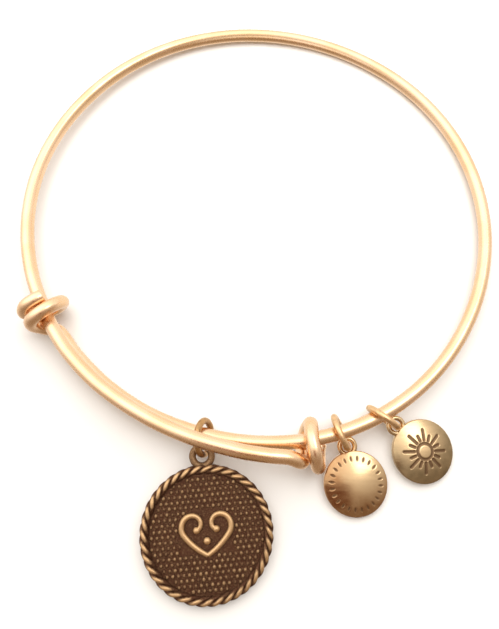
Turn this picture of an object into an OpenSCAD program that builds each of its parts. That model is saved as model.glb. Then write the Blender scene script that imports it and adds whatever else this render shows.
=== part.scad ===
// Expandable wire bangle with three charms, lying on its side.
// Millimetres, +Z up. The origin is the centre of the wire ring, on the surface that the bangle lies on.
// +Y points away from the charms. Azimuths are counted from +X towards +Y.

/* [Bangle wire] */
// Diameter of the wire
wire_d = 1.75; // [1.7:0.01:1.8]
// Radius of the ring, from its centre to the middle of the wire
ring_r = 31.75; // [31:0.25:32.5]
// Play between the two wires where one is wrapped round the other
wire_gap = 0.1; // [0.08:0.01:0.15]
// Flat sides of the wire's section
wire_sides = 16; // [12:2:20]

/* [Jump rings] */
// Outside diameter of a jump ring
jump_od = 4.8; // [4.7:0.05:4.9]
// Diameter of the jump ring's wire
jump_wire_d = 0.8; // [0.7:0.05:0.8]

/* [Medallion] */
// Diameter of the medallion over its rope border
medallion_d = 15.6; // [15:0.1:16]
// Thickness of the plate under the sunken field
plate_t = 0.9; // [0.7:0.1:1]
// Thickness of the rope border
rope_d = 1.15; // [1:0.05:1.3]
// Strand crossings counted once round the rope border
rope_crossings = 36; // [24:4:48]
// Height of the raised scrolls over the field
scroll_h = 0.5; // [0.3:0.1:0.7]
// Width of a scroll's stroke
scroll_w = 0.7; // [0.5:0.05:0.8]

/* [Small tags] */
// Diameter of a small tag
tag_d = 7.8; // [7.4:0.1:8.2]
// Height of a small tag's upright rim
tag_rim_t = 0.75; // [0.6:0.05:0.9]
// Rise of the dome over the rim
tag_dome_h = 0.55; // [0.3:0.05:0.7]

/* [Hidden] */
$fn = 64;

// Heights at which the wire lies: on the surface, and on top of another wire
low_z = wire_d / 2;
host_z = low_z + wire_d + wire_gap;

// Azimuths where the wire carries the wraps of its own two ends, and its radius there
left_wrap_az = 208.6;
left_wrap_r = ring_r;
right_wrap_az = 280.7;
right_wrap_r = ring_r + 0.12;

// Azimuth of the point of the ring that lies lowest, opposite the two wraps
far_az = (left_wrap_az + right_wrap_az) / 2 - 180;
chord_to_far = ring_r * (1 + cos((right_wrap_az - left_wrap_az) / 2));

// The wrap of the inner end at the left: turn counted from under the wire that it goes round,
// out from that wire's middle, along that wire from the wrap's middle
LEFT_WRAP = [
  // turn, out, along
  [562, 1.92, 1.12],
  [535, 1.95, 1.02],
  [495, 2.15, 0.98],
  [450, 2.3, 0.9],
  [405, 2.05, 0.75],
  [360, 1.85, 0.5],
  [315, 2.15, 0.35],
  [270, 2.45, 0.05],
  [225, 2.3, -0.55],
  [180, 2.12, -0.92],
  [135, 2.15, -1.05],
  [90, 2.05, -1.1],
  [50, 1.95, -1.35],
  [18, 1.92, -1.95]
];

// The wrap of the outer end at the right: turn counted from over the wire that it goes round
RIGHT_WRAP = [
  // turn, out, along
  [58, 2.5, -2.1],
  [90, 2.25, -1.5],
  [135, 2.08, -1.15],
  [180, 1.85, -0.6],
  [225, 1.86, 0.0],
  [270, 1.87, 0.38],
  [315, 1.92, 0.18],
  [360, 2.0, -0.1],
  [405, 2.6, -0.05],
  [450, 3.25, 0.22],
  [480, 2.95, 0.65],
  [503, 2.27, 0.98],
  [518, 1.96, 1.25]
];

// The stretch between the wraps where the two ends lie one over the other
INNER_RUN = [
  // azimuth, radius, height
  [213.5, 31.65, 0.90],
  [221, 31.5, 0.95],
  [232, 31.42, 1.15],
  [244, 31.42, 1.62],
  [256, 31.46, 1.98],
  [265, 31.58, 2.22],
  [273, 31.72, 2.48]
];
OUTER_RUN = [
  // azimuth, radius, height
  [214, 31.8, 2.95],
  [221, 31.84, 3.25],
  [232, 31.8, 4.15],
  [244, 31.88, 5.0],
  [255, 32.25, 5.45],
  [265, 32.78, 5.35],
  [271, 33.2, 5.1],
  [275.3, 33.55, 4.7]
];

// The open part of the ring, bent by hand: radius at some azimuths, after one full turn above 360
RING_SHAPE = [
  // azimuth, radius
  [280.7, 31.87],
  [289, 31.93],
  [303, 32.00],
  [317, 31.89],
  [330, 31.78],
  [345, 31.79],
  [360, 31.88],
  [386, 32.00],
  [400, 31.95],
  [424, 31.78],
  [440, 31.77],
  [475, 31.88],
  [490, 31.86],
  [505, 31.80],
  [530, 31.88],
  [545, 31.84],
  [568.6, 31.75]
];

// Point at an azimuth, a radius and a height
function polar(az, r, z) = [r * cos(az), r * sin(az), z];

// Height of the ring's middle: a plane from the lowest point up to the two wraps
function plane_z(az) = low_z + (host_z - low_z) * ring_r * (1 - cos(az - far_az)) / chord_to_far;

// Point of a wrap round the wire at an azimuth and a radius; up is +1 when the turn is counted from
// over that wire and -1 when it is counted from under it
function wrap_point(az, r, row, up) =
  polar(az, r + row[1] * sin(row[0]), host_z + up * row[1] * cos(row[0]))
  + up * row[2] * [-sin(az), cos(az), 0];

arc_step = 9;
arc_start = right_wrap_az;
arc_end = left_wrap_az + 360;
arc_count = floor((arc_end - arc_start) / arc_step);

// Key points of the one wire, from the cut end in the left wrap to the cut end in the right wrap
WIRE_KEYS = concat(
  [for (row = LEFT_WRAP) wrap_point(left_wrap_az, left_wrap_r, row, -1)],
  [for (row = INNER_RUN) polar(row[0], row[1], row[2])],
  [for (i = [0 : arc_count])
    let (az = arc_start + i * (arc_end - arc_start) / arc_count) polar(az, lookup(az, RING_SHAPE), plane_z(az))],
  [for (row = OUTER_RUN) polar(row[0], row[1], row[2])],
  [for (row = RIGHT_WRAP) wrap_point(right_wrap_az, right_wrap_r, row, 1)]
);

// Direction of a smooth curve at key i, per millimetre of its length
function key_slope(keys, i) =
  let (a = max(i - 1, 0), b = min(i + 1, len(keys) - 1))
  (keys[b] - keys[a]) / (norm(keys[b] - keys[i]) + norm(keys[i] - keys[a]));

// Point between two keys, on the cubic that follows their slopes
function between(p, q, slope_p, slope_q, t) =
  let (span = norm(q - p))
  p * (2 * t ^ 3 - 3 * t ^ 2 + 1) + slope_p * span * (t ^ 3 - 2 * t ^ 2 + t)
  + q * (3 * t ^ 2 - 2 * t ^ 3) + slope_q * span * (t ^ 3 - t ^ 2);

// Steps between two keys: close together on a wrap, far apart on the open ring
function steps_between(p, q) = max(2, ceil(norm(q - p) / 2.4));

function smooth_curve(keys) = concat(
  [for (i = [0 : len(keys) - 2])
    let (n = steps_between(keys[i], keys[i + 1]))
    for (k = [0 : n - 1])
      between(keys[i], keys[i + 1], key_slope(keys, i), key_slope(keys, i + 1), k / n)],
  [keys[len(keys) - 1]]
);

function unit(v) = v / norm(v);
function direction(points, i) =
  unit(points[min(i + 1, len(points) - 1)] - points[max(i - 1, 0)]);

// Side directions carried along the curve without twist
function side_directions(points) =
  [for (i = 0, side = unit(cross(direction(points, 0), [0, 0, 1])); i < len(points);
        i = i + 1,
        side = i < len(points)
          ? let (d = direction(points, i)) unit(side - d * (side * d)) : side) side];

// Closed round tube along points, with its two ends slightly rounded off
module tube(points, d, sides) {
  side = side_directions(points);
  last = len(points) - 1;
  end_inset = 0.12 * d;
  function section(at, i, r) = let (u = side[i], v = cross(direction(points, i), u))
    [for (k = [0 : sides - 1]) at + r * (u * cos(360 * k / sides) + v * sin(360 * k / sides))];
  rings = concat(
    [section(points[0] - direction(points, 0) * end_inset, 0, d * 0.36)],
    [for (i = [0 : last]) section(points[i], i, d / 2)],
    [section(points[last] + direction(points, last) * end_inset, last, d * 0.36)]
  );
  count = len(rings);
  faces = concat(
    [[for (k = [0 : sides - 1]) k]],
    [for (j = [0 : count - 2]) for (k = [0 : sides - 1])
      let (a = j * sides + k, b = j * sides + (k + 1) % sides) [a, a + sides, b + sides, b]],
    [[for (k = [sides - 1 : -1 : 0]) (count - 1) * sides + k]]
  );
  polyhedron([for (ring = rings) each ring], faces, convexity = 10);
}

module bangle_wire() {
  color("#d9a760") tube(smooth_curve(WIRE_KEYS), wire_d, wire_sides);
}

// Jump ring standing on the surface: at is its middle, heading is the azimuth that its plane
// contains, lean is the angle between its plane and the surface
module jump_ring(at, heading, lean) {
  r = (jump_od - jump_wire_d) / 2;
  translate([at[0], at[1], r * sin(lean) + jump_wire_d / 2 + 0.02])
    rotate([0, 0, heading]) rotate([lean, 0, 0])
      rotate_extrude() translate([r, 0]) circle(d = jump_wire_d, $fn = 32);
}

module medallion_ring() {
  color("#b08a55") jump_ring(at = [-6.970, -31.047], heading = 266.2, lean = 112.3);
}

module plain_tag_ring() {
  color("#c9995a") jump_ring(at = [9.752, -30.416], heading = 292.1, lean = 106.7);
}

module engraved_tag_ring() {
  color("#c9995a") jump_ring(at = [15.076, -28.600], heading = 324.7, lean = 99.1);
}

// Sets a charm down: its lower edge rests on the surface at the side away from its ear, and it
// rises by tilt towards the ear. at is the middle of its back, heading is the azimuth of its ear
module lay_down(at, heading, tilt, radius) {
  translate([at[0], at[1], 0]) rotate([0, 0, heading - 90])
    translate([0, -radius, 0]) rotate([tilt, 0, 0]) translate([0, radius, 0]) children();
}

// Cast ear in a charm's own plane
module ear(y, z, r, bar_d) {
  translate([0, y, z]) rotate_extrude() translate([r, 0]) circle(d = bar_d, $fn = 24);
}

// Plate with a rope border: three strands laid round each other run round its rim
rope_r = (medallion_d - rope_d) / 2;
rope_z = plate_t + 0.04;
rope_strands = 3;
rope_step = 120 / rope_strands;
rope_rings = 3 * rope_crossings;
rope_groove = 0.15;
plate_r = medallion_d / 2 - 0.13;
plate_edge = 0.12;

// Distance of the rope's surface from its own middle, at an angle counted from a strand's crest
function rope_radius(from_crest) = rope_d / 2 * (1 - rope_groove * (1 - cos(rope_strands * from_crest)));

// Section of the rim at one azimuth, from the underside over the rope to the field, as [radius, height]
function rim_section(twist) = concat(
  [[plate_r - plate_edge, 0], [plate_r, plate_edge], [plate_r - 0.02, rope_z - rope_d * 0.38]],
  [for (a = [-rope_step : rope_step : 180]) let (r = rope_radius(a - twist))
    [rope_r + r * cos(a), rope_z + r * sin(a)]],
  [[rope_r - rope_d * 0.56, plate_t]]
);

module rope_edged_plate() {
  rim = [for (j = [0 : rope_rings - 1]) let (az = 360 * j / rope_rings)
    [for (p = rim_section(az * rope_crossings / rope_strands)) polar(az, p[0], p[1])]];
  n = len(rim[0]);
  under = rope_rings * n;
  over = under + 1;
  walls = [for (j = [0 : rope_rings - 1]) for (k = [0 : n - 2])
    let (a = j * n + k, c = ((j + 1) % rope_rings) * n + k)
    each [[a, a + 1, c + 1], [a, c + 1, c]]];
  faces_under = [for (j = [0 : rope_rings - 1]) [under, j * n, ((j + 1) % rope_rings) * n]];
  faces_over = [for (j = [0 : rope_rings - 1])
    [over, ((j + 1) % rope_rings) * n + n - 1, j * n + n - 1]];
  polyhedron(concat([for (ring = rim) each ring], [[0, 0, 0], [0, 0, plate_t]]),
    concat(walls, faces_under, faces_over), convexity = 10);
}

// Point on the middle or an edge of an arm, a fraction t along it
function arm_point(arm, t, side) =
  let (az = arm[4] + (arm[5] - arm[4]) * t, r = arm[2] + (arm[3] - arm[2]) * t + side)
  [arm[0] + r * cos(az), arm[1] + r * sin(az)];

// Stroke along an arc or a spiral, with round ends
module scroll_arm(arm, w) {
  steps = 24;
  polygon(concat(
    [for (i = [0 : steps]) arm_point(arm, i / steps, w / 2)],
    [for (i = [steps : -1 : 0]) arm_point(arm, i / steps, -w / 2)]
  ));
  for (t = [0, 1]) translate(arm_point(arm, t, 0)) circle(d = w, $fn = 32);
}

// One half of the heart: the curl at the top and the side that runs down to the point
SCROLL_ARMS = [
  // centre x, centre y, first radius, last radius, first azimuth, last azimuth
  [1.45, 1.00, 1.55, 0.60, -35, 240],
  [-3.70, 4.61, 7.84, 7.84, -61.8, -35]
];
curl_ball_d = 1.3 * scroll_w;
drop_d = 1.35 * scroll_w;
drop_y = -0.75;

// Raised ornament of the medallion: two mirrored scrolls that make a heart, with a drop inside
module heart_scrolls(z, h) {
  translate([0, 0, z]) linear_extrude(h) {
    for (side = [0, 1]) mirror([side, 0]) {
      for (arm = SCROLL_ARMS) scroll_arm(arm, scroll_w);
      translate(arm_point(SCROLL_ARMS[0], 1, 0)) circle(d = curl_ball_d, $fn = 32);
    }
    translate([0, drop_y]) circle(d = drop_d, $fn = 32);
  }
}

// The medallion's ear: middle from the medallion's centre, radius to the middle of its bar, bar
medallion_ear_y = medallion_d / 2 + 0.92;
medallion_ear_r = 1.14;
medallion_ear_bar = 0.84;
sunk = 0.1;

module medallion() {
  color("#8a6a45") lay_down(at = [-6.422, -41.746], heading = 94.9, tilt = 5.68, radius = medallion_d / 2) {
    rope_edged_plate();
    ear(medallion_ear_y, plate_t * 0.75, medallion_ear_r, medallion_ear_bar);
    heart_scrolls(plate_t - sunk, scroll_h + sunk);
  }
}

// The tags' ear: middle from the tag's centre, radius to the middle of its bar, bar
tag_ear_y = tag_d / 2 + 0.6;
tag_ear_r = 0.95;
tag_ear_bar = 0.62;

// Bevel round a tag's two edges, and the radius of its dome
tag_bevel = 0.15;
tag_face_r = tag_d / 2 - tag_bevel;
tag_dome_r = (tag_face_r ^ 2 + tag_dome_h ^ 2) / (2 * tag_dome_h);

// Small domed tag with its ear
module tag(at, heading, tilt) {
  lay_down(at, heading, tilt, tag_d / 2) {
    cylinder(r1 = tag_face_r, r2 = tag_d / 2, h = tag_bevel, $fn = 96);
    translate([0, 0, tag_bevel]) cylinder(d = tag_d, h = tag_rim_t - 2 * tag_bevel, $fn = 96);
    translate([0, 0, tag_rim_t - tag_bevel])
      cylinder(r1 = tag_d / 2, r2 = tag_face_r, h = tag_bevel, $fn = 96);
    intersection() {
      translate([0, 0, tag_rim_t + tag_dome_h - tag_dome_r]) sphere(tag_dome_r, $fn = 96);
      cylinder(r = tag_face_r, h = tag_rim_t + tag_dome_h + 1, $fn = 96);
    }
    ear(tag_ear_y, tag_rim_t * 0.55, tag_ear_r, tag_ear_bar);
  }
}

module plain_tag() {
  color("#c39a60") tag(at = [11.435, -36.302], heading = 101.4, tilt = 7.71);
}

module engraved_tag() {
  color("#c8a068") tag(at = [19.953, -32.517], heading = 136.8, tilt = 8.37);
}

bangle_wire();
medallion();
medallion_ring();
plain_tag();
plain_tag_ring();
engraved_tag();
engraved_tag_ring();
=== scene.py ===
"""Looks of an expandable wire bangle with three charms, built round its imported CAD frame.

Everything is in metres, in the frame's own axes: the origin is the centre of the wire ring on the
surface that the bangle lies on, and +Y points away from the charms. Lengths in the tables and in
the shapes below are millimetres and angles in the tables are degrees, as in the construction.
"""

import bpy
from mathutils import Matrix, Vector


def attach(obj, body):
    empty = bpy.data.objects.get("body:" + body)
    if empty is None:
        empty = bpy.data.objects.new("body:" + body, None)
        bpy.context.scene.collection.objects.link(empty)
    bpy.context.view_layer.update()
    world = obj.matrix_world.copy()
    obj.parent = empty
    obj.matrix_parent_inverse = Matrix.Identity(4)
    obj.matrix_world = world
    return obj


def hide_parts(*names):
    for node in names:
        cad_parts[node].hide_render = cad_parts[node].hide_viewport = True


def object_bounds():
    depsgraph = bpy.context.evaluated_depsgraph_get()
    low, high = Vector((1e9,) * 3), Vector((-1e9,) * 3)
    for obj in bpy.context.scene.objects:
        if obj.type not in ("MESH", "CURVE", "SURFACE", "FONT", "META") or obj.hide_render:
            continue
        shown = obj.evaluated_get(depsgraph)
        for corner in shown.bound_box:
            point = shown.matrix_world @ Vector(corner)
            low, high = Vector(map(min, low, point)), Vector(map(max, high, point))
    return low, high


bl_info = {
    "name": "Charm Bangle",
    "version": (1, 0, 0),
    "blender": (4, 5, 0),
    "location": "3D View > Sidebar > Bangle",
    "description": "Builds a wire bangle with three charms on its CAD frame",
    "category": "Object",
}

from math import atan2, ceil, cos, floor, hypot, pi, radians, sin, sqrt

import bmesh
import bpy
from bpy.props import FloatProperty, FloatVectorProperty, IntProperty, PointerProperty
from bpy.types import Operator, Panel, PropertyGroup
from mathutils import Matrix, Vector, noise

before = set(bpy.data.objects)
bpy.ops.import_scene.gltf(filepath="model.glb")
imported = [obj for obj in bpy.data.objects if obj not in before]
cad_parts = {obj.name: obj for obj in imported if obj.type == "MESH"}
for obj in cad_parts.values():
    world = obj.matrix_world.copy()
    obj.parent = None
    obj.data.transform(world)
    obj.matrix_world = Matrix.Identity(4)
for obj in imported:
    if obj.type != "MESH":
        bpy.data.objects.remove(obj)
CAD_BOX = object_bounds()
MM = 0.001


# Units, colours and settings


def metres(lengths):
    """Turns lengths in millimetres into metres."""
    return [length * MM for length in lengths]


def linear(hex_colour):
    """Turns an sRGB colour such as "#D9A760" into linear red, green, blue and alpha."""
    parts = [int(hex_colour[i : i + 2], 16) / 255 for i in (1, 3, 5)]
    rgb = [p / 12.92 if p <= 0.04045 else ((p + 0.055) / 1.055) ** 2.4 for p in parts]
    return (*rgb, 1.0)


def size_setting(name, description, millimetres):
    """A length that the user may change, kept in metres."""
    return FloatProperty(
        name=name,
        description=description,
        default=millimetres * MM,
        min=0.0,
        precision=5,
        subtype="DISTANCE",
        unit="LENGTH",
    )


def count_setting(name, description, default, least):
    """A whole number that the user may change."""
    return IntProperty(name=name, description=description, default=default, min=least)


def power_setting(name, description, watts):
    """The power of a light, which the user may change."""
    return FloatProperty(
        name=name, description=description, default=watts, min=0.0, unit="POWER"
    )


def colour_setting(name, description, hex_colour):
    """A colour that the user may change."""
    return FloatVectorProperty(
        name=name,
        description=description,
        default=linear(hex_colour),
        size=4,
        min=0.0,
        max=1.0,
        subtype="COLOR",
    )


class BangleWireSettings(PropertyGroup):
    """Sizes and colours of the bent wire."""

    diameter: size_setting("Wire diameter", "Thickness of the drawn wire", 1.75)
    ring_radius: size_setting("Ring radius", "From the ring's centre to the wire's middle", 31.75)
    gap: size_setting("Play in the wraps", "Play between two crossing wires", 0.1)
    gold: colour_setting("Satin gold", "Plating of the wire", "#FBD5AE")
    thin_gold: colour_setting("Thin plating", "Warmer tone where the plating is thin", "#F2CA9A")


class BangleRingSettings(PropertyGroup):
    """Sizes and colours of the jump rings."""

    outside: size_setting("Outside diameter", "Outside diameter of a jump ring", 4.8)
    wire: size_setting("Ring wire", "Diameter of the jump ring's wire", 0.8)
    seam: FloatProperty(
        name="Cut",
        description="Width of the saw cut where the ring opens",
        default=radians(1.6),
        min=0.0,
        subtype="ANGLE",
        unit="ROTATION",
    )
    gold: colour_setting("Ring gold", "Plating of the jump rings", "#EFC796")
    bronze: colour_setting("Ring bronze", "Darkened plating of the medallion's ring", "#C79B68")


class BangleMedallionSettings(PropertyGroup):
    """Sizes and colours of the medallion."""

    diameter: size_setting("Medallion", "Diameter over the rope border", 15.6)
    plate: size_setting("Plate", "Thickness under the sunken field", 0.9)
    rope: size_setting("Rope", "Thickness of the rope border", 1.15)
    crossings: count_setting("Strand crossings", "Strand crossings once round the rope", 36, 8)
    scroll_width: size_setting("Scroll width", "Width of a scroll's stroke", 0.7)
    scroll_height: size_setting("Scroll height", "Height of the scrolls over the field", 0.5)
    dot_pitch: size_setting("Dot pitch", "Distance of two dots in a row of the field", 0.64)
    dot_radius: size_setting("Dot radius", "Radius of a raised dot", 0.23)
    brass: colour_setting("Worn brass", "Bare metal where the patina is rubbed off", "#D6B082")
    patina: colour_setting("Patina", "Darkened metal in the hollows", "#4A2F20")


class BangleTagSettings(PropertyGroup):
    """Sizes and colours of the two small tags."""

    diameter: size_setting("Tag", "Diameter of a small tag", 7.8)
    rim: size_setting("Rim", "Height of the upright rim", 0.75)
    dome: size_setting("Dome", "Rise of the dome over the rim", 0.55)
    rays: count_setting("Rays", "Long rays of the engraved sunburst", 8, 4)
    dashes: count_setting("Dashes", "Dashes punched round the plain tag", 24, 6)
    gold: colour_setting("Tag gold", "Polished plating of the tags", "#DCBC90")
    # Painted dark reflections of the surroundings, laid on each tag away from its bright spot
    painted_reflection: colour_setting("Painted reflection", "Painted brown reflection on the dashed tag, away from its bright spot", "#9C6A40")
    painted_olive_reflection: colour_setting("Painted olive reflection", "Painted olive reflection on the sunburst tag, away from its bright spot", "#8A7758")
    soot: colour_setting("Engraving", "Blackening left in the engraved lines", "#745840")


class BangleStageSettings(PropertyGroup):
    """Floor, lights and light tent round the bangle."""

    floor: colour_setting("Floor", "Plain pale floor", "#DDD9D4")
    paper: colour_setting("Backdrop", "Pale paper hung round the floor", "#F1EEEA")
    sky: colour_setting("Light tent", "White cloth of the tent round the bangle", "#FFFEFC")
    flag: colour_setting("Flag", "Dim warm card beside the camera", "#96705A")
    room: colour_setting("Room", "Dim room behind the photographer", "#A08B76")
    strength: FloatProperty(
        name="Tent", description="Brightness of the light tent", default=2.3, min=0.0
    )
    softbox: power_setting("Softbox", "Power of the soft box overhead", 0.16)
    fill: power_setting("Fill", "Power of the light on the floor", 0.13)


# The wire's course

# The wrap of the inner end at the left: turn counted from under the wire that it goes round,
# out from that wire's middle, along that wire from the wrap's middle
LEFT_WRAP_AZ, LEFT_WRAP_OUT = 208.6, 0.0
LEFT_WRAP = [
    (562, 1.92, 1.12), (535, 1.95, 1.02), (495, 2.15, 0.98), (450, 2.30, 0.90), (405, 2.05, 0.75),
    (360, 1.85, 0.50), (315, 2.15, 0.35), (270, 2.45, 0.05), (225, 2.30, -0.55), (180, 2.12, -0.92),
    (135, 2.15, -1.05), (90, 2.05, -1.10), (50, 1.95, -1.35), (18, 1.92, -1.95),
]
# The wrap of the outer end at the right: turn counted from over the wire that it goes round
RIGHT_WRAP_AZ, RIGHT_WRAP_OUT = 280.7, 0.12
RIGHT_WRAP = [
    (58, 2.50, -2.10), (90, 2.25, -1.50), (135, 2.08, -1.15), (180, 1.85, -0.60), (225, 1.86, 0.00),
    (270, 1.87, 0.38), (315, 1.92, 0.18), (360, 2.00, -0.10), (405, 2.60, -0.05), (450, 3.25, 0.22),
    (480, 2.95, 0.65), (503, 2.27, 0.98), (518, 1.96, 1.25),
]
# The stretch where the two ends lie one over the other: azimuth, radius, height
INNER_RUN = [
    (213.5, 31.65, 0.90), (221, 31.50, 0.95), (232, 31.42, 1.15), (244, 31.42, 1.62),
    (256, 31.46, 1.98), (265, 31.58, 2.22), (273, 31.72, 2.48),
]
OUTER_RUN = [
    (214, 31.80, 2.95), (221, 31.84, 3.25), (232, 31.80, 4.15), (244, 31.88, 5.00),
    (255, 32.25, 5.45), (265, 32.78, 5.35), (271, 33.20, 5.10), (275.3, 33.55, 4.70),
]
# The open part of the ring, bent by hand: radius at some azimuths
RING_SHAPE = [
    (280.7, 31.87), (289, 31.93), (303, 32.00), (317, 31.89), (330, 31.78), (345, 31.79),
    (360, 31.88), (386, 32.00), (400, 31.95), (424, 31.78), (440, 31.77), (475, 31.88),
    (490, 31.86), (505, 31.80), (530, 31.88), (545, 31.84), (568.6, 31.75),
]
ARC_STEP = 9.0
COURSE_STEP = 0.5
# The cut ends are rounded off by a file: length past the end and thickness left there, both as
# shares of the wire's diameter
FILED_END = [(0.05, 0.965), (0.09, 0.88), (0.12, 0.72)]


def polar(azimuth, radius, z):
    """Point at an azimuth, a radius and a height."""
    return Vector((radius * cos(radians(azimuth)), radius * sin(radians(azimuth)), z))


def ring_radius_at(azimuth):
    """Radius of the ring between two rows of its shape."""
    for (a, r), (b, s) in zip(RING_SHAPE, RING_SHAPE[1:]):
        if azimuth <= b:
            return r + (s - r) * (azimuth - a) / (b - a)
    return RING_SHAPE[-1][1]


def wire_keys(wire_d, gap, ring_r):
    """Key points of the one wire, from its cut end in the left wrap to that in the right wrap."""
    low_z = wire_d / 2
    host_z = low_z + wire_d + gap
    far_az = (LEFT_WRAP_AZ + RIGHT_WRAP_AZ) / 2 - 180
    chord = ring_r * (1 + cos(radians((RIGHT_WRAP_AZ - LEFT_WRAP_AZ) / 2)))

    def plane_z(azimuth):
        """Height of the ring, which rises evenly from its far side to the two wraps."""
        return low_z + (host_z - low_z) * ring_r * (1 - cos(radians(azimuth - far_az))) / chord

    def wrap_point(azimuth, radius, row, up):
        """Point of a wrap round the wire at an azimuth and a radius."""
        turn, out, along = row
        side, height = out * sin(radians(turn)), up * out * cos(radians(turn))
        onward = Vector((-sin(radians(azimuth)), cos(radians(azimuth)), 0))
        return polar(azimuth, radius + side, host_z + height) + up * along * onward

    start, end = RIGHT_WRAP_AZ, LEFT_WRAP_AZ + 360
    count = floor((end - start) / ARC_STEP)
    arc = [start + i * (end - start) / count for i in range(count + 1)]
    return (
        [wrap_point(LEFT_WRAP_AZ, ring_r + LEFT_WRAP_OUT, row, -1) for row in LEFT_WRAP]
        + [polar(*row) for row in INNER_RUN]
        + [polar(az, ring_radius_at(az), plane_z(az)) for az in arc]
        + [polar(*row) for row in OUTER_RUN]
        + [wrap_point(RIGHT_WRAP_AZ, ring_r + RIGHT_WRAP_OUT, row, 1) for row in RIGHT_WRAP]
    )


def smooth_course(keys, step):
    """Points a step apart on the smooth curve through the keys."""
    slopes = []
    for i, key in enumerate(keys):
        before, after = keys[max(i - 1, 0)], keys[min(i + 1, len(keys) - 1)]
        slopes.append((after - before) / ((after - key).length + (key - before).length))
    points = []
    for p, q, slope_p, slope_q in zip(keys, keys[1:], slopes, slopes[1:]):
        span = (q - p).length
        n = max(4, ceil(span / step))
        for t in (k / n for k in range(n)):
            points.append(
                p * (2 * t**3 - 3 * t**2 + 1)
                + slope_p * span * (t**3 - 2 * t**2 + t)
                + q * (3 * t**2 - 2 * t**3)
                + slope_q * span * (t**3 - t**2)
            )
    return points + [keys[-1]]


# Making pieces


def tube_mesh(name, points, radius, closed=False, widths=None, quarter_steps=5):
    """Mesh of a round bar along points; widths scale its radius point by point."""
    curve = bpy.data.curves.new(name, "CURVE")
    curve.dimensions = "3D"
    curve.twist_mode = "MINIMUM"
    curve.bevel_depth = radius
    curve.bevel_resolution = quarter_steps
    curve.use_fill_caps = not closed
    spline = curve.splines.new("POLY")
    spline.points.add(len(points) - 1)
    spline.use_cyclic_u = closed
    for i, point in enumerate(points):
        spline.points[i].co = (*point, 1.0)
        spline.points[i].radius = widths[i] if widths else 1.0
    carrier = bpy.data.objects.new(name, curve)
    bpy.context.scene.collection.objects.link(carrier)
    evaluated = carrier.evaluated_get(bpy.context.evaluated_depsgraph_get())
    mesh = bpy.data.meshes.new_from_object(evaluated)
    bpy.data.objects.remove(carrier)
    bpy.data.curves.remove(curve)
    return mesh


def add_mesh(bm, mesh):
    """Adds a mesh to a bmesh and returns its new vertices."""
    known = len(bm.verts)
    bm.from_mesh(mesh)
    bpy.data.meshes.remove(mesh)
    bm.verts.ensure_lookup_table()
    return bm.verts[known:]


def spin_once_round(bm, geom, steps, opening=0.0):
    """Turns vertices and edges round the Z axis, all the way or up to an opening."""
    bmesh.ops.spin(
        bm,
        geom=geom,
        cent=(0, 0, 0),
        axis=(0, 0, 1),
        angle=2 * pi - opening,
        steps=steps,
        use_merge=not opening,
    )


def spun(bm, profile, steps):
    """Turns a profile of radius and height once round the Z axis, and returns its vertices."""
    known = set(bm.verts)
    chain = [bm.verts.new((r, 0.0, z)) for r, z in profile]
    edges = [bm.edges.new(pair) for pair in zip(chain, chain[1:])]
    spin_once_round(bm, chain + edges, steps)
    made = [v for v in bm.verts if v not in known]
    bmesh.ops.remove_doubles(bm, verts=made, dist=1e-5)
    made = [v for v in bm.verts if v not in known]
    bmesh.ops.recalc_face_normals(bm, faces=list({f for v in made for f in v.link_faces}))
    return made


def ring_bar(bm, radius, bar_d, steps, sides, place, opening=0.0):
    """Ring of round bar in its own XY plane; an opening is cut out of it with closed ends."""
    known = set(bm.verts)
    section = bmesh.ops.create_circle(
        bm,
        segments=sides,
        radius=bar_d / 2,
        matrix=Matrix.Translation((radius, 0, 0)) @ Matrix.Rotation(pi / 2, 4, "X"),
    )["verts"]
    edges = list({e for v in section for e in v.link_edges})
    spin_once_round(bm, section + edges, steps, opening)
    made = [v for v in bm.verts if v not in known]
    if opening:
        ends = list({e for v in made for e in v.link_edges if e.is_boundary})
        bmesh.ops.holes_fill(bm, edges=ends, sides=0)
    bmesh.ops.recalc_face_normals(bm, faces=list({f for v in made for f in v.link_faces}))
    bmesh.ops.transform(bm, matrix=place, verts=made)
    return made


def cast_ear(bm, size, charm_r, height):
    """Cast ear of a charm, a ring of bar beyond its edge; returns its vertices."""
    radius, bar_d, beyond = size
    place = Matrix.Translation((0, charm_r + beyond, height))
    return ring_bar(bm, radius, bar_d, steps=48, sides=20, place=place)


def add_object(name, bm, material):
    """Makes an object of a shape and its finish, and puts it in the scene."""
    mesh = bpy.data.meshes.new(name)
    bm.to_mesh(mesh)
    bm.free()
    mesh.materials.append(material)
    made = bpy.data.objects.new(name, mesh)
    bpy.context.scene.collection.objects.link(made)
    return made


def add_piece(name, bm, material, place=Matrix.Identity(4), replaced=(), sharp=40.0):
    """Sets a shape in its place, gives it its finish and lets it ride on the frame."""
    bmesh.ops.transform(bm, matrix=Matrix.Scale(MM, 4) @ place, verts=bm.verts)
    piece = add_object(name, bm, material)
    piece.data.shade_smooth()
    piece.data.set_sharp_from_angle(angle=radians(sharp))
    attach(piece, "root")
    if replaced:
        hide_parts(*replaced)
    return piece


def laid_down(at, heading, tilt, radius):
    """Place of a charm: its lower edge rests on the surface and its ear is tilted up."""
    return (
        Matrix.Translation((*at, 0))
        @ Matrix.Rotation(radians(heading - 90), 4, "Z")
        @ Matrix.Translation((0, -radius, 0))
        @ Matrix.Rotation(radians(tilt), 4, "X")
        @ Matrix.Translation((0, radius, 0))
    )


def ease(low, high, value):
    """0 below low, 1 above high, and a soft step between them."""
    t = min(max((value - low) / (high - low), 0.0), 1.0)
    return t * t * (3 - 2 * t)


# Finishes


def add_node(tree, kind, inputs=None, **settings):
    """Adds a node; inputs maps a socket to a value or to the output that it is linked to."""
    made = tree.nodes.new(kind)
    for name, value in settings.items():
        setattr(made, name, value)
    for key, value in (inputs or {}).items():
        if isinstance(value, bpy.types.NodeSocket):
            tree.links.new(value, made.inputs[key])
        else:
            made.inputs[key].default_value = value
    return made


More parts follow.
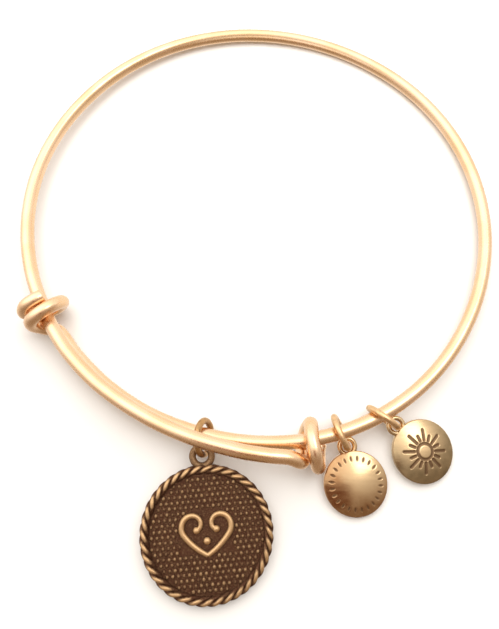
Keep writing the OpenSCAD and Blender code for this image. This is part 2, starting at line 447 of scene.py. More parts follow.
def empty_tree(owner):
    """Node tree of a material or a world, with nothing in it yet."""
    owner.use_nodes = True
    owner.node_tree.nodes.clear()
    return owner.node_tree


def new_material(name, **surface):
    """A material with one Principled shader, its plain values set, ready for pattern nodes."""
    material = bpy.data.materials.new(name)
    tree = empty_tree(material)
    shader = add_node(tree, "ShaderNodeBsdfPrincipled", surface)
    add_node(tree, "ShaderNodeOutputMaterial", {"Surface": shader.outputs["BSDF"]})
    return material, tree, shader


def satin_gold_wire(settings):
    """Gold-plated brass wire, drawn through a die and matted with a fine brush.

    The brush leaves a fine even grain, so highlights run out softly along the wire, and the
    plating is a little warmer where it was handled.
    """
    material, tree, shader = new_material("satin_gold_plated_wire", Metallic=1.0)
    at = add_node(tree, "ShaderNodeTexCoord").outputs["Object"]
    # Handling marks are patches of about 5 mm
    handled = add_node(tree, "ShaderNodeTexNoise", {"Vector": at, "Scale": 1 / (5 * MM), "Detail": 3.0})
    # Brush grain is about 0.05 mm; drawn at 0.25 mm, the finest that the render still shows
    grain = add_node(tree, "ShaderNodeTexNoise", {"Vector": at, "Scale": 1 / (0.25 * MM), "Detail": 4.0})
    tone = add_node(
        tree,
        "ShaderNodeMapRange",
        {"Value": handled.outputs["Fac"], "From Min": 0.42, "From Max": 0.68},
    )
    colour = add_node(
        tree,
        "ShaderNodeMix",
        {"Factor": tone.outputs["Result"], "A": tuple(settings.gold), "B": tuple(settings.thin_gold)},
        data_type="RGBA",
    )
    tree.links.new(colour.outputs["Result"], shader.inputs["Base Color"])
    rough = add_node(
        tree,
        "ShaderNodeMapRange",
        {"Value": grain.outputs["Fac"], "From Min": 0.3, "From Max": 0.7, "To Min": 0.23, "To Max": 0.32},
    )
    tree.links.new(rough.outputs["Result"], shader.inputs["Roughness"])
    bump = add_node(
        tree, "ShaderNodeBump", {"Height": grain.outputs["Fac"], "Strength": 0.12, "Distance": 0.012 * MM}
    )
    tree.links.new(bump.outputs["Normal"], shader.inputs["Normal"])
    return material


def aged_ring_gold(name, gold):
    """Plated jump-ring wire, tumbled smooth: a soft even shine, duller than the bangle."""
    material, tree, shader = new_material(name, Metallic=1.0)
    at = add_node(tree, "ShaderNodeTexCoord").outputs["Object"]
    # Tumbling leaves small dull spots of about 0.4 mm
    spots = add_node(tree, "ShaderNodeTexNoise", {"Vector": at, "Scale": 1 / (0.4 * MM), "Detail": 3.0})
    dull = tuple(c * 0.72 for c in gold[:3]) + (1.0,)
    tone = add_node(
        tree, "ShaderNodeMapRange", {"Value": spots.outputs["Fac"], "From Min": 0.45, "From Max": 0.7}
    )
    colour = add_node(
        tree,
        "ShaderNodeMix",
        {"Factor": tone.outputs["Result"], "A": tuple(gold), "B": dull},
        data_type="RGBA",
    )
    tree.links.new(colour.outputs["Result"], shader.inputs["Base Color"])
    rough = add_node(
        tree,
        "ShaderNodeMapRange",
        {"Value": spots.outputs["Fac"], "From Min": 0.3, "From Max": 0.7, "To Min": 0.26, "To Max": 0.38},
    )
    tree.links.new(rough.outputs["Result"], shader.inputs["Roughness"])
    return material


def antique_brass(settings):
    """Cast brass, darkened in a patina bath and worn back to the bare metal on its high places.

    Where the attribute worn is 1 the metal is bare, satin and golden; where it is 0 the dull brown
    patina stays. The grain of the casting sand breaks both up.
    """
    material, tree, shader = new_material("antique_cast_brass")
    at = add_node(tree, "ShaderNodeTexCoord").outputs["Object"]
    worn = add_node(tree, "ShaderNodeAttribute", attribute_name="worn").outputs["Fac"]
    # Casting grain of about 0.13 mm, and stains of about 1.6 mm in the patina
    grain = add_node(tree, "ShaderNodeTexNoise", {"Vector": at, "Scale": 1 / (0.13 * MM), "Detail": 3.0})
    stain = add_node(tree, "ShaderNodeTexNoise", {"Vector": at, "Scale": 1 / (1.6 * MM), "Detail": 2.0})
    broken = add_node(
        tree,
        "ShaderNodeMapRange",
        {"Value": grain.outputs["Fac"], "From Min": 0.3, "From Max": 0.7, "To Min": -0.2, "To Max": 0.2},
    )
    bare = add_node(
        tree, "ShaderNodeMath", {0: worn, 1: broken.outputs["Result"]}, operation="ADD", use_clamp=True
    )
    warm = tuple(c * f for c, f in zip(settings.patina[:3], (1.5, 1.35, 1.3))) + (1.0,)
    dark = add_node(
        tree,
        "ShaderNodeMix",
        {"Factor": stain.outputs["Fac"], "A": tuple(settings.patina), "B": warm},
        data_type="RGBA",
    )
    colour = add_node(
        tree,
        "ShaderNodeMix",
        {"Factor": bare.outputs["Value"], "A": dark.outputs["Result"], "B": tuple(settings.brass)},
        data_type="RGBA",
    )
    tree.links.new(colour.outputs["Result"], shader.inputs["Base Color"])
    metal = add_node(
        tree, "ShaderNodeMapRange", {"Value": bare.outputs["Value"], "To Min": 0.85, "To Max": 1.0}
    )
    tree.links.new(metal.outputs["Result"], shader.inputs["Metallic"])
    rough = add_node(
        tree, "ShaderNodeMapRange", {"Value": bare.outputs["Value"], "To Min": 0.62, "To Max": 0.46}
    )
    tree.links.new(rough.outputs["Result"], shader.inputs["Roughness"])
    bump = add_node(
        tree, "ShaderNodeBump", {"Height": grain.outputs["Fac"], "Strength": 0.5, "Distance": 0.02 * MM}
    )
    tree.links.new(bump.outputs["Normal"], shader.inputs["Normal"])
    return material


def polished_tag_gold(name, gold, painted_reflection_tone, soot):
    """Stamped brass tag, gold plated and polished, then worn in a pocket.

    The dome mirrors the tent as one bright patch with soft edges; fine scratches dull it.
    Blackening is left in the engraving, where the attribute engraved is 1. Away from one bright
    spot, where a second attribute is 1, a dark reflection of the surroundings is painted into the
    colour in its own tone.
    """
    material, tree, shader = new_material(name, Metallic=1.0)
    at = add_node(tree, "ShaderNodeTexCoord").outputs["Object"]
    engraved = add_node(tree, "ShaderNodeAttribute", attribute_name="engraved").outputs["Fac"]
    # Cloudy patches of about 1.2 mm break up the painted reflection
    cloud = add_node(tree, "ShaderNodeTexNoise", {"Vector": at, "Scale": 1 / (1.2 * MM), "Detail": 4.0})
    # Mask of the painted dark reflection, 0 at the tag's bright spot
    painted_reflection = add_node(tree, "ShaderNodeAttribute", attribute_name="painted_reflection").outputs["Fac"]
    clouded = add_node(
        tree,
        "ShaderNodeMapRange",
        {"Value": cloud.outputs["Fac"], "From Min": 0.3, "From Max": 0.7, "To Min": 0.6},
    )
    brown = add_node(
        tree,
        "ShaderNodeMath",
        {0: painted_reflection, 1: clouded.outputs["Result"]},
        operation="MULTIPLY",
        use_clamp=True,
    )
    # Gold, darkened towards the painted reflection tone as far as the mask says
    plain = add_node(
        tree,
        "ShaderNodeMix",
        {"Factor": brown.outputs["Value"], "A": tuple(gold), "B": tuple(painted_reflection_tone)},
        data_type="RGBA",
    )
    colour = add_node(
        tree,
        "ShaderNodeMix",
        {"Factor": engraved, "A": plain.outputs["Result"], "B": tuple(soot)},
        data_type="RGBA",
    )
    tree.links.new(colour.outputs["Result"], shader.inputs["Base Color"])
    # Polishing scratches are about 0.02 mm apart; drawn 0.3 mm apart so that the render shows them
    slanted = add_node(
        tree, "ShaderNodeMapping", {"Vector": at, "Rotation": (0, 0, radians(35)), "Scale": (1, 9, 1)}
    )
    scratches = add_node(
        tree,
        "ShaderNodeTexNoise",
        {"Vector": slanted.outputs["Vector"], "Scale": 1 / (2.7 * MM), "Detail": 5.0},
    )
    polish = add_node(
        tree,
        "ShaderNodeMapRange",
        {
            "Value": scratches.outputs["Fac"],
            "From Min": 0.35,
            "From Max": 0.7,
            "To Min": 0.17,
            "To Max": 0.27,
        },
    )
    rough = add_node(
        tree,
        "ShaderNodeMix",
        {"Factor": engraved, "A": polish.outputs["Result"], "B": 0.6},
        data_type="FLOAT",
    )
    tree.links.new(rough.outputs["Result"], shader.inputs["Roughness"])
    bump = add_node(
        tree, "ShaderNodeBump", {"Height": scratches.outputs["Fac"], "Strength": 0.2, "Distance": 0.02 * MM}
    )
    tree.links.new(bump.outputs["Normal"], shader.inputs["Normal"])
    return material


def pale_floor(settings):
    """Matt white laminate sheet: even, with a barely seen mottle of about 40 mm."""
    material, tree, shader = new_material("matt_white_laminate", Roughness=0.75)
    at = add_node(tree, "ShaderNodeTexCoord").outputs["Object"]
    mottle = add_node(tree, "ShaderNodeTexNoise", {"Vector": at, "Scale": 1 / (40 * MM), "Detail": 2.0})
    shade = tuple(c * 0.97 for c in settings.floor[:3]) + (1.0,)
    colour = add_node(
        tree,
        "ShaderNodeMix",
        {"Factor": mottle.outputs["Fac"], "A": tuple(settings.floor), "B": shade},
        data_type="RGBA",
    )
    tree.links.new(colour.outputs["Result"], shader.inputs["Base Color"])
    return material


def glowing_card(name, colour, strength=1.0):
    """A plain card that shows one even tone, however it is lit."""
    material = bpy.data.materials.new(name)
    tree = empty_tree(material)
    glow = add_node(tree, "ShaderNodeEmission", {"Color": tuple(colour), "Strength": strength})
    add_node(tree, "ShaderNodeOutputMaterial", {"Surface": glow.outputs["Emission"]})
    return material


# The charms' patterns

# Places of the charms: middle of the back, azimuth of the ear, tilt
MEDALLION_AT = ((-6.422, -41.746), 94.9, 5.68)
PLAIN_TAG_AT = ((11.435, -36.302), 101.4, 7.71)
ENGRAVED_TAG_AT = ((19.953, -32.517), 136.8, 8.37)
# Cast ears of the charms: radius, thickness of the bar, middle beyond the charm's edge
MEDALLION_EAR = (1.14, 0.84, 0.92)
TAG_EAR = (0.95, 0.62, 0.6)

# Places of the jump rings: middle, azimuth in the ring's plane, lean from the surface
MEDALLION_RING_AT = ((-6.970, -31.047), 266.2, 112.3)
PLAIN_RING_AT = ((9.752, -30.416), 292.1, 106.7)
ENGRAVED_RING_AT = ((15.076, -28.600), 324.7, 99.1)
# The saw cut is turned down and out of sight, and a ring stands clear of the surface by the lift
CUT_AZ, RING_LIFT = -110, 0.02

# One half of the heart: centre x, centre y, first radius, last radius, first and last azimuth
CURL = (1.45, 1.00, 1.55, 0.60, -35, 240)
SIDE = (-3.70, 4.61, 7.84, 7.84, -61.8, -35)
DROP_Y = -0.75
# How far the plate's edge lies inside the rope's, and the rope's middle above the field
PLATE_INSET, ROPE_RISE = 0.13, 0.04
# Strands of the rope, the radius of one as a share of the rope, and its points in one turn
ROPE_STRANDS, STRAND_SHARE, STRAND_STEPS = 3, 0.25, 40
# Distance of two rows of dots, as a share of the distance of two dots in a row
ROW_SHARE = 0.953

# The sunburst: radius of its disc, start of its rays, ends of its long and its short rays
SUN_DISC, RAY_START, LONG_RAY, SHORT_RAY = 0.95, 1.35, 2.6, 1.95
SUN_LINE = 0.3
# The dashes: radius of their ring, half of a dash's length and of its width
DASH_RING, DASH_HALF_L, DASH_HALF_W = 3.0, 0.42, 0.19
# Depth from which an engraved line is filled with blackening
FILLED_DEPTH = 0.05


def arm_point(arm, t):
    """Point of the middle of a scroll's arm, a fraction t along it."""
    x, y, first_r, last_r, first_az, last_az = arm
    angle, r = radians(first_az + (last_az - first_az) * t), first_r + (last_r - first_r) * t
    return Vector((x + r * cos(angle), y + r * sin(angle)))


def half_heart():
    """Middle of one scroll, from the heart's point up its side and round into the curl."""
    return [arm_point(SIDE, i / 24) for i in range(24)] + [
        arm_point(CURL, i / 48) for i in range(49)
    ]


def beside_spoke(x, y, step, shift=0.0):
    """Place of a point along and across the nearest of the spokes that stand a step apart."""
    r, angle = hypot(x, y), atan2(y, x)
    off = angle - (round((angle - shift) / step) * step + shift)
    return r * cos(off), r * sin(off)


def sunburst(x, y, rays):
    """Depth of the sunburst's engraving at a point of the tag, as a share of its full depth."""
    off = abs(hypot(x, y) - SUN_DISC)
    step = 2 * pi / rays
    for shift, end in ((0.0, LONG_RAY), (step / 2, SHORT_RAY)):
        along, across = beside_spoke(x, y, step, shift)
        off = min(off, hypot(across, max(RAY_START - along, along - end, 0.0)))
    return 1 - ease(SUN_LINE * 0.15, SUN_LINE * 0.9, off)


def dash_pattern(x, y, dashes):
    """Depth of the ring of punched dashes at a point of the tag, as a share of its full depth."""
    along, across = beside_spoke(x, y, 2 * pi / dashes)
    off = hypot((along - DASH_RING) / DASH_HALF_L, across / DASH_HALF_W)
    return 1 - ease(0.4, 1.0, off)


# Operators


class BANGLE_OT_wire(Operator):
    """Bends the bangle's wire, with its two ends wrapped round each other's side"""

    bl_idname = "bangle.wire"
    bl_label = "Bangle wire"

    def execute(self, context):
        s = context.scene.bangle_wire
        wire_d = s.diameter / MM
        course = smooth_course(wire_keys(wire_d, s.gap / MM, s.ring_radius / MM), COURSE_STEP)
        first = (course[0] - course[1]).normalized()
        last = (course[-1] - course[-2]).normalized()
        points = (
            [course[0] + first * wire_d * out for out, _ in reversed(FILED_END)]
            + course
            + [course[-1] + last * wire_d * out for out, _ in FILED_END]
        )
        filed = [width for _, width in FILED_END]
        widths = filed[::-1] + [1.0] * len(course) + filed
        bm = bmesh.new()
        tube = tube_mesh("bangle_wire", points, wire_d / 2, widths=widths, quarter_steps=6)
        add_mesh(bm, tube)
        material = satin_gold_wire(s)
        add_piece("satin_wire", bm, material, replaced=["bangle_wire"], sharp=50)
        return {"FINISHED"}


class BANGLE_OT_jump_rings(Operator):
    """Makes the three jump rings, each cut open at one place"""

    bl_idname = "bangle.jump_rings"
    bl_label = "Jump rings"

    def execute(self, context):
        s = context.scene.bangle_rings
        wire = s.wire / MM
        radius = s.outside / MM / 2 - wire / 2
        gold = aged_ring_gold("tumbled_ring_gold", s.gold)
        bronze = aged_ring_gold("tumbled_ring_bronze", s.bronze)
        for name, node, (at, heading, lean), material, slot in (
            ("medallion_link", "medallion_ring", MEDALLION_RING_AT, bronze, "antique_gold"),
            ("plain_tag_link", "plain_tag_ring", PLAIN_RING_AT, gold, "gold_wire"),
            ("engraved_tag_link", "engraved_tag_ring", ENGRAVED_RING_AT, gold, "gold_wire"),
        ):
            place = (
                Matrix.Translation((*at, radius * sin(radians(lean)) + wire / 2 + RING_LIFT))
                @ Matrix.Rotation(radians(heading), 4, "Z")
                @ Matrix.Rotation(radians(lean), 4, "X")
            )
            bm = bmesh.new()
            cut_turn = Matrix.Rotation(radians(CUT_AZ), 4, "Z")
            ring_bar(bm, radius, wire, steps=90, sides=24, place=cut_turn, opening=s.seam)
            add_piece(name, bm, material, place, [node], sharp=60)
        return {"FINISHED"}


class BANGLE_OT_medallion(Operator):
    """Casts the medallion: plate with ear, rope border, field of dots and raised scrolls"""

    bl_idname = "bangle.medallion"
    bl_label = "Medallion"

    def execute(self, context):
        s = context.scene.bangle_medallion
        material = antique_brass(s)
        outer, plate_t, rope_d = s.diameter / MM / 2, s.plate / MM, s.rope / MM
        place = laid_down(*MEDALLION_AT, outer)
        for name, bm in (
            ("medallion_plate", self.plate(outer, plate_t, rope_d)),
            ("medallion_rope", self.rope(s, outer, plate_t, rope_d)),
            ("medallion_dots", self.dots(s, outer, plate_t, rope_d)),
            ("medallion_scrolls", self.scrolls(s, plate_t)),
        ):
            add_piece(name, bm, material, place, ["medallion"])
        return {"FINISHED"}

    def plate(self, outer, plate_t, rope_d):
        """The plate under the rope and the field, with the cast ear."""
        bm = bmesh.new()
        worn = bm.verts.layers.float.new("worn")
        r, inner = outer - PLATE_INSET, outer - rope_d
        # The flat back, its rounded edge, the side under the rope, and the field
        profile = [(0, 0), (2, 0), (4, 0), (r - 0.35, 0)]
        profile += [(r - 0.12, 0), (r - 0.035, 0.035), (r, 0.12)]
        profile += [(r, 0.3), (r - 0.01, plate_t * 0.55), (r - 0.2, plate_t * 0.7)]
        profile += [(inner + 0.3, plate_t)]
        profile += [(inner * k / 16, plate_t) for k in range(16, -1, -1)]
        for v in spun(bm, profile, 144):
            side = hypot(v.co.x, v.co.y)
            v[worn] = 0.5 if v.co.z < 0.01 else 0.22 * ease(inner, r, side)
        for v in cast_ear(bm, MEDALLION_EAR, outer, plate_t * 0.75):
            v[worn] = 0.35 * ease(plate_t * 0.6, plate_t * 1.1, v.co.z)
        return bm

    def rope(self, s, outer, plate_t, rope_d):
        """Three strands laid round each other, bent into the border."""
        bm = bmesh.new()
        worn = bm.verts.layers.float.new("worn")
        middle_r, middle_z = outer - rope_d / 2, plate_t + ROPE_RISE
        turns = s.crossings // ROPE_STRANDS
        strand_r = rope_d * STRAND_SHARE
        lay_r = rope_d / 2 - strand_r
        steps = STRAND_STEPS * turns
        for strand in range(ROPE_STRANDS):
            course = []
            for i in range(steps):
                az = 360 * i / steps
                angle = radians(turns * az + 360 * strand / ROPE_STRANDS)
                side, up = lay_r * cos(angle), lay_r * sin(angle)
                course.append(polar(az, middle_r + side, middle_z + up))
            tube = tube_mesh("strand", course, strand_r, closed=True, quarter_steps=3)
            # Only the backs of the strands are rubbed, where they face up and a little outward
            for v in add_mesh(bm, tube):
                side, up = hypot(v.co.x, v.co.y) - middle_r, v.co.z - middle_z
                crest = ease(rope_d * 0.38, rope_d * 0.475, hypot(side, up))
                v[worn] = crest * ease(0.58, 0.95, (0.98 * up + 0.2 * side) / (rope_d / 2))
        return bm

    def dots(self, s, outer, plate_t, rope_d):
        """Rows of small raised dots on the field, left out round the scrolls."""
        bm = bmesh.new()
        worn = bm.verts.layers.float.new("worn")
        pitch, dot_r = s.dot_pitch / MM, s.dot_radius / MM
        row_pitch = pitch * ROW_SHARE
        field_r = outer - rope_d - 0.05
        heart = half_heart()
        clear = s.scroll_width / MM / 2 + dot_r * 0.8
        rows = int(field_r / row_pitch)
        for row in range(-rows, rows + 1):
            for column in range(-rows - 2, rows + 3):
                at = Vector(((column + 0.5 * (row % 2)) * pitch, row * row_pitch))
                if at.length > field_r or self.on_heart(at, heart, clear):
                    continue
                known = len(bm.verts)
                # Casting leaves no two dots quite the same
                odd = noise.noise(Vector((at.x * 3.1, at.y * 3.7, 0.5)))
                shape = Matrix.Diagonal((1.0, 1.2, 0.75 + 0.2 * odd, 1))
                bmesh.ops.create_icosphere(
                    bm,
                    subdivisions=2,
                    radius=dot_r * (1 + 0.12 * odd),
                    matrix=Matrix.Translation((*at, plate_t)) @ shape,
                )
                bm.verts.ensure_lookup_table()
                for v in bm.verts[known:]:
                    height = (v.co.z - plate_t) / (dot_r * 0.75)
                    v[worn] = (0.4 + 0.1 * odd) * ease(0.4, 1.05, height)
        # What lies under the field is cut away
        bmesh.ops.bisect_plane(
            bm,
            geom=bm.verts[:] + bm.edges[:] + bm.faces[:],
            plane_co=(0, 0, plate_t - 0.01),
            plane_no=(0, 0, 1),
            clear_inner=True,
        )
        return bm

    def on_heart(self, at, heart, clear):
        """Tells whether a point of the field lies within the heart or too near its scrolls."""
        half = Vector((abs(at.x), at.y))
        near = min((half - p).length for p in heart)
        within = any(at.y < p.y + 0.35 and abs(at.x) < p.x for p in heart)
        return near < clear or (within and at.y > heart[0].y)

    def scrolls(self, s, plate_t):
        """Two mirrored scrolls that make a heart, each with a ball in its curl, and a drop."""
        bm = bmesh.new()
        worn = bm.verts.layers.float.new("worn")
        half_w, height = s.scroll_width / MM / 2, s.scroll_height / MM
        middle = half_heart()
        # The stroke swells on the heart's shoulder and thins towards the curl
        last = len(middle) - 1
        widths = [0.86 + 0.2 * sin(pi * min(1.0, i / last * 1.35)) for i in range(last + 1)]
        z = plate_t + height - half_w
        for side in (1, -1):
            course = [Vector((side * p.x, p.y, z)) for p in middle]
            add_mesh(bm, tube_mesh("scroll", course, half_w, widths=widths, quarter_steps=4))
            self.ball(bm, half_w * 1.3, (side * middle[-1].x, middle[-1].y, z - 0.08))
        self.ball(bm, half_w * 1.35, (0, DROP_Y, z - 0.1))
        for v in bm.verts:
            v[worn] = ease(plate_t + height * 0.25, plate_t + height * 0.75, v.co.z)
        return bm

    def ball(self, bm, radius, at):
        """A raised ball."""
        place = Matrix.Translation(at)
        bmesh.ops.create_uvsphere(bm, u_segments=24, v_segments=16, radius=radius, matrix=place)


class BANGLE_OT_tags(Operator):
    """Stamps the two small domed tags, one with punched dashes and one with a sunburst"""

    bl_idname = "bangle.tags"
    bl_label = "Small tags"

    def execute(self, context):
        s = context.scene.bangle_tags
        outer = s.diameter / MM / 2
        # Pattern that is pressed in, its count and its depth
        dashes, sun = (dash_pattern, s.dashes, 0.05), (sunburst, s.rays, 0.09)
        # Piece, node, place, bright spot, tone of the painted reflection away from it, and pattern
        for name, node, at, bright_spot, tone, pressed in (
            ("dashed_tag", "plain_tag", PLAIN_TAG_AT, (1.4, 1.0), s.painted_reflection, dashes),
            ("sunburst_tag", "engraved_tag", ENGRAVED_TAG_AT, (0.6, 1.3), s.painted_olive_reflection, sun),
        ):
            material = polished_tag_gold("polished_gold_of_" + name, s.gold, tone, s.soot)
            bm = self.tag(s, outer, bright_spot, *pressed)
            add_piece(name, bm, material, laid_down(*at, outer), [node], sharp=35)
        return {"FINISHED"}

    def tag(self, s, outer, bright_spot, pattern, count, deep):
        """One tag with its ear, pattern pressed in its dome, and painted reflection away from a bright
        spot.
        """
        bm = bmesh.new()
        engraved = bm.verts.layers.float.new("engraved")
        painted_reflection = bm.verts.layers.float.new("painted_reflection")
        rim, rise, bevel = s.rim / MM, s.dome / MM, 0.15
        face_r = outer - bevel
        dome_r = (face_r**2 + rise**2) / (2 * rise)
        # The back, its rounded edge, the side, the rounded edge of the rim, and the dome
        corner = [(bevel * (1 - sin(a)), bevel * (1 - cos(a))) for a in (0.4, 0.8, 1.2)]
        profile = [(0, 0), (face_r - 0.3, 0), (face_r, 0)]
        profile += [(outer - inward, up) for inward, up in corner]
        profile += [(outer, bevel), (outer, rim - bevel)]
        profile += [(outer - up, rim - inward) for inward, up in corner]
        steps = 72
        for i in range(steps + 1):
            r = face_r * (1 - i / steps)
            profile.append((r, rim + rise - dome_r + sqrt(dome_r**2 - r**2)))
        for v in spun(bm, profile, 320):
            # Painted dark reflection, growing with the distance from the bright spot
            from_bright_spot = hypot(v.co.x - bright_spot[0], v.co.y - bright_spot[1])
            v[painted_reflection] = 0.9 * ease(outer * 0.25, outer * 1.1, from_bright_spot)
            if v.co.z > rim + 0.001:
                pressed = pattern(v.co.x, v.co.y, count)
                v[engraved] = min(0.9 * pressed * deep / FILLED_DEPTH, 0.9)
                v.co.z -= pressed * deep
        # The ear takes a little of the painted reflection too
        for v in cast_ear(bm, TAG_EAR, outer, rim * 0.55):
            v[painted_reflection] = 0.3
        return bm


# Directions of the tent's brightest side and of its dim opening
BRIGHT_SIDE = (-0.405, 0.158, 0.900)
DIM_SIDE = (0.179, -0.913, -0.366)
# Cosine from the brightest side where it begins, how steeply it brightens, and the share of light
# that the cloth has elsewhere
BRIGHT_FROM, BRIGHT_POWER, PLAIN_CLOTH = 0.3, 2.0, 0.5
# Cosines from the opening between which the cloth gives way to the dim room
OPENING = (-0.8, 0.83)
# The mirrored surface: its light, the look's Y where its shade begins and is full, and the look's Z
# over the soft horizon
SURFACE_GLOW, SURFACE_SHADE, HORIZON = 1.55, (0.4, -1.0), (-0.05, 0.02)
# Corners of the dim card beside the camera, and of the pale card that stands inside the ring
FLAG_CORNERS = ((-35, -110, 72), (21, -110, 72), (21, -56, 72), (-35, -56, 72))
REFLECTOR_CORNERS = ((-18, -8, 9), (8, -8, 9), (8, -8, 36), (-18, -8, 36))
REFLECTOR_GLOW = 1.3
# Half of the floor's side, and the radius, height and middle of the paper round it, all in metres
FLOOR_HALF = 3.0
PAPER_R, PAPER_H, PAPER_Z = 2.9, 4.0, 1.95
# Lights: place, and width and depth; both look at one point
SOFT_BOX = ((125, 30, 280), (160, 120))
FILL = ((8, 30, 80), (140, 120))
LIT_POINT = (0, -20, 0)
# Camera: place, turn, lens and sensor
CAMERA_AT, CAMERA_TURN = (-2.93, -34.35, 64.81), (16.85, -1.35, 0)
LENS, SENSOR = 28.62, 36.0


class BANGLE_OT_stage(Operator):
    """Sets the plain floor, the soft light and the camera"""

    bl_idname = "bangle.stage"
    bl_label = "Stage"

    def execute(self, context):
        s = context.scene.bangle_stage
        self.sky(context.scene, s)
        self.floor(s)
        self.backdrop(s)
        # The dim card gives the near wire its dark bands, and the pale one lights up the far wire
        self.card("flag", FLAG_CORNERS, glowing_card("dim_card", s.flag))
        pale = glowing_card("pale_card", s.sky, REFLECTOR_GLOW)
        self.card("reflector", REFLECTOR_CORNERS, pale)
        # The soft box is seen only in the metal, and the fill lights the floor only
        self.area_light("soft_box", *SOFT_BOX, s.softbox).visible_diffuse = False
        self.area_light("fill", *FILL, s.fill).visible_glossy = False
        self.camera(context.scene)
        context.scene.view_settings.view_transform = "Standard"
        return {"FINISHED"}

    def put_up(self, name, bm, material):
        """Puts a plain shape on the stage."""
        thing = add_object(name, bm, material)
        return thing

    def seen_only_by(self, thing, kind):
        """Hides a thing from every kind of ray but one; it throws no shadow either."""
        for ray in ("camera", "diffuse", "glossy", "transmission", "volume_scatter", "shadow"):
            setattr(thing, "visible_" + ray, ray == kind)

    def floor(self, s):
        """The plain sheet that the bangle lies on."""
        bm = bmesh.new()
        place = Matrix.Translation((0, 0, CAD_BOX[0].z))
        bmesh.ops.create_grid(bm, x_segments=1, y_segments=1, size=FLOOR_HALF, matrix=place)
        # The metal mirrors the tent's lower half in place of the floor
        self.put_up("floor", bm, pale_floor(s)).visible_glossy = False

    def backdrop(self, s):
        """Pale paper hung round the floor, seen only by a camera that looks across it."""
        bm = bmesh.new()
        bmesh.ops.create_cone(
            bm,
            segments=64,
            radius1=PAPER_R,
            radius2=PAPER_R,
            depth=PAPER_H,
            matrix=Matrix.Translation((0, 0, PAPER_Z)),
        )
        bmesh.ops.reverse_faces(bm, faces=bm.faces)
        paper = self.put_up("backdrop", bm, glowing_card("pale_paper", s.paper))
        self.seen_only_by(paper, "camera")

    def card(self, name, corners, material):
        """A flat card, seen only in the metal."""
        bm = bmesh.new()
        bm.faces.new([bm.verts.new(Vector(corner) * MM) for corner in corners])
        self.seen_only_by(self.put_up(name, bm, material), "glossy")

    def sky(self, scene, s):
        """A light tent, brightest overhead, open and dim at the side of the photographer."""
        world = bpy.data.worlds.new("light_tent")
        tree = empty_tree(world)
        toward = add_node(tree, "ShaderNodeTexCoord").outputs["Generated"]
        parts = add_node(tree, "ShaderNodeSeparateXYZ", {"Vector": toward})
        facing = add_node(
            tree, "ShaderNodeVectorMath", {0: toward, 1: BRIGHT_SIDE}, operation="DOT_PRODUCT"
        )
        near = add_node(
            tree, "ShaderNodeMapRange", {"Value": facing.outputs["Value"], "From Min": BRIGHT_FROM}
        )
        glow = add_node(
            tree, "ShaderNodeMath", {0: near.outputs["Result"], 1: BRIGHT_POWER}, operation="POWER"
        )
        lamps = add_node(
            tree,
            "ShaderNodeMapRange",
            {"Value": glow.outputs["Value"], "To Min": PLAIN_CLOTH * s.strength, "To Max": s.strength},
        )
        away = add_node(tree, "ShaderNodeVectorMath", {0: toward, 1: DIM_SIDE}, operation="DOT_PRODUCT")
        opening = add_node(
            tree,
            "ShaderNodeMapRange",
            {"Value": away.outputs["Value"], "From Min": OPENING[0], "From Max": OPENING[1]},
            interpolation_type="SMOOTHSTEP",
        )
        cloth = add_node(
            tree, "ShaderNodeBackground", {"Color": tuple(s.sky), "Strength": lamps.outputs["Result"]}
        )
        room = add_node(tree, "ShaderNodeBackground", {"Color": tuple(s.room)})
        above = add_node(
            tree,
            "ShaderNodeMixShader",
            {0: opening.outputs["Result"], 1: cloth.outputs["Background"], 2: room.outputs["Background"]},
        )
        # Below, the metal mirrors the lit surface, which is in the shade near the photographer
        shade = add_node(
            tree,
            "ShaderNodeMapRange",
            {"Value": parts.outputs["Y"], "From Min": SURFACE_SHADE[0], "From Max": SURFACE_SHADE[1]},
            interpolation_type="SMOOTHSTEP",
        )
        lit_floor = add_node(
            tree, "ShaderNodeBackground", {"Color": tuple(s.floor), "Strength": SURFACE_GLOW}
        )
        below = add_node(
            tree,
            "ShaderNodeMixShader",
            {0: shade.outputs["Result"], 1: lit_floor.outputs["Background"], 2: room.outputs["Background"]},
        )
        horizon = add_node(
            tree,
            "ShaderNodeMapRange",
            {"Value": parts.outputs["Z"], "From Min": HORIZON[0], "From Max": HORIZON[1]},
        )
        both = add_node(
            tree,
            "ShaderNodeMixShader",
            {0: horizon.outputs["Result"], 1: below.outputs["Shader"], 2: above.outputs["Shader"]},
        )
        add_node(tree, "ShaderNodeOutputWorld", {"Surface": both.outputs["Shader"]})
        # Only rays that bounce off a surface look for the tent, so the flag stays dark in the metal
        world.cycles.sampling_method = "NONE"
        scene.world = world

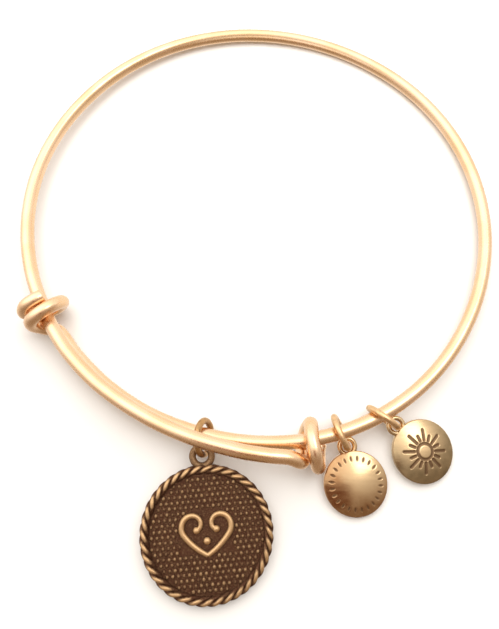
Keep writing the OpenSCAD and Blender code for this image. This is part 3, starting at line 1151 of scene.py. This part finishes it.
    def area_light(self, name, at, size, power):
        """A rectangular light that looks at the bangle and is in no picture itself."""
        light = bpy.data.lights.new(name, "AREA")
        light.shape = "RECTANGLE"
        light.size, light.size_y = metres(size)
        light.energy = power
        lamp = bpy.data.objects.new(name, light)
        lamp.location = metres(at)
        toward = Vector(metres(LIT_POINT)) - lamp.location
        lamp.rotation_euler = toward.to_track_quat("-Z", "Y").to_euler()
        lamp.visible_camera = False
        bpy.context.scene.collection.objects.link(lamp)
        return lamp

    def camera(self, scene):
        """The photograph's view: almost straight down on the charms."""
        lens = bpy.data.cameras.new("photo_view")
        lens.sensor_width = SENSOR
        lens.lens = LENS
        lens.clip_start = 0.001
        camera = bpy.data.objects.new("photo_view", lens)
        camera.location = metres(CAMERA_AT)
        camera.rotation_euler = [radians(turn) for turn in CAMERA_TURN]
        scene.collection.objects.link(camera)
        scene.camera = camera


class BANGLE_PT_pieces(Panel):
    """Lists the bangle's pieces"""

    bl_label = "Charm Bangle"
    bl_idname = "BANGLE_PT_pieces"
    bl_space_type = "VIEW_3D"
    bl_region_type = "UI"
    bl_category = "Bangle"

    def draw(self, context):
        for operator, group in STEPS:
            box = self.layout.box()
            box.operator(operator.bl_idname)
            settings = getattr(context.scene, group)
            for key in settings.__annotations__:
                box.prop(settings, key)


STEPS = (
    (BANGLE_OT_wire, "bangle_wire"),
    (BANGLE_OT_jump_rings, "bangle_rings"),
    (BANGLE_OT_medallion, "bangle_medallion"),
    (BANGLE_OT_tags, "bangle_tags"),
    (BANGLE_OT_stage, "bangle_stage"),
)
GROUPS = {
    "bangle_wire": BangleWireSettings,
    "bangle_rings": BangleRingSettings,
    "bangle_medallion": BangleMedallionSettings,
    "bangle_tags": BangleTagSettings,
    "bangle_stage": BangleStageSettings,
}
CLASSES = (*GROUPS.values(), *(operator for operator, _ in STEPS), BANGLE_PT_pieces)


def register():
    for cls in CLASSES:
        bpy.utils.register_class(cls)
    for name, group in GROUPS.items():
        setattr(bpy.types.Scene, name, PointerProperty(type=group))


def unregister():
    for name in GROUPS:
        delattr(bpy.types.Scene, name)
    for cls in reversed(CLASSES):
        bpy.utils.unregister_class(cls)


def main():
    register()
    bpy.ops.bangle.wire()
    bpy.ops.bangle.jump_rings()
    bpy.ops.bangle.medallion()
    bpy.ops.bangle.tags()
    bpy.ops.bangle.stage()


if __name__ == "__main__":
    main()
